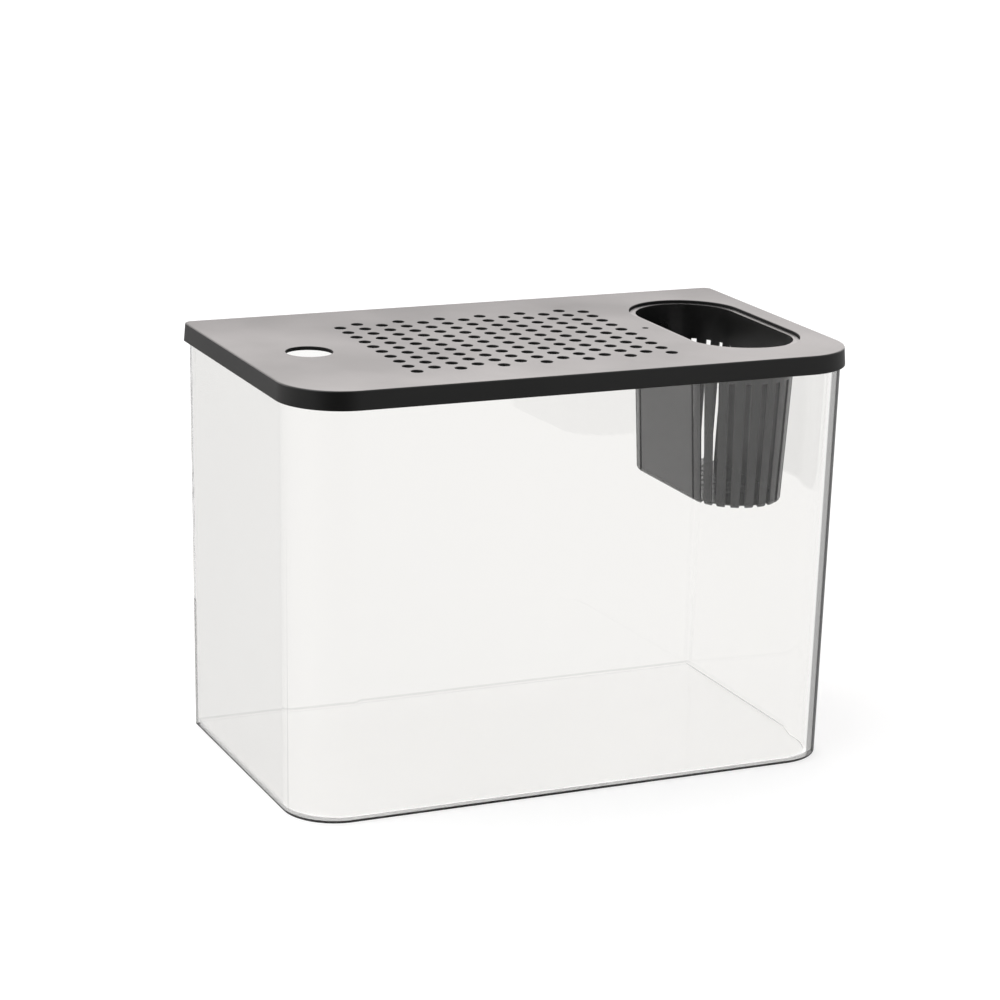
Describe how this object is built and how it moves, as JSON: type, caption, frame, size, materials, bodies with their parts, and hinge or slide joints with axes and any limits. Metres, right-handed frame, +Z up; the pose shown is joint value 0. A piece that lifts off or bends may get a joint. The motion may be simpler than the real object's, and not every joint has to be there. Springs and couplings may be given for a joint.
{
  "type": "plastic pet tank",
  "caption": "Clear moulded tank for small pets or fish, with a black lift-off lid that has a vent field, a round port and a slotted planting basket hung in it.",
  "frame": {"origin": "on the table under the middle of the lid's outline", "axes": "+X along the tank's length from the round port to the planting basket, front with the large corners at -Y, +Z up"},
  "size_m": [0.316, 0.18, 0.225],
  "materials": {
    "clear_plastic": "clear, polished",
    "lid_plastic": "satin black",
    "basket_plastic": "satin black"
  },
  "bodies": {
    "tank": {"tank": "clear_plastic"},
    "lid": {"lid": "lid_plastic"},
    "planting_basket": {"planting_basket": "basket_plastic"}
  },
  "joints": [
    {"name": "lid_lift", "type": "slide", "parent": "tank", "child": "lid", "axis": [0, 0, 1], "range_m": [0, 0.12]},
    {"name": "basket_lift", "type": "slide", "parent": "lid", "child": "planting_basket", "axis": [0, 0, 1], "range_m": [0, 0.1]}
  ]
}
